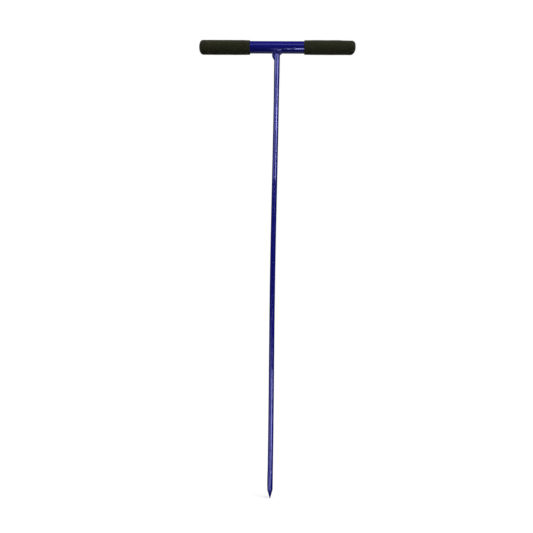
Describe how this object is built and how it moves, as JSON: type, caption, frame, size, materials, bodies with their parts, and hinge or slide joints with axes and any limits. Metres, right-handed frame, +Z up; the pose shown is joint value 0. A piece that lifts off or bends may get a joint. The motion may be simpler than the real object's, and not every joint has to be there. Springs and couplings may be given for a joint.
{
  "type": "steel probe rod",
  "caption": "T-handled ground probe: a straight steel rod with a ground conical point, welded square under a steel cross tube with closed-end foam grips.",
  "frame": {"origin": "tip of the rod's point, the lowest spot of the tool when it is held upright", "axes": "+Z up the rod to the handle, +X along the cross tube towards the right grip, -Y is the front"},
  "size_m": [0.4194, 0.0396, 1.2223],
  "materials": {
    "blue_paint": "semi-gloss dark blue paint over steel, with slight waviness",
    "foam_grip": "matte closed-cell foam, black with an olive cast"
  },
  "bodies": {
    "root": {"handle_tube": "blue_paint", "probe_rod": "blue_paint", "weld_bead": "blue_paint", "left_grip": "foam_grip", "right_grip": "foam_grip"}
  },
  "joints": []
}
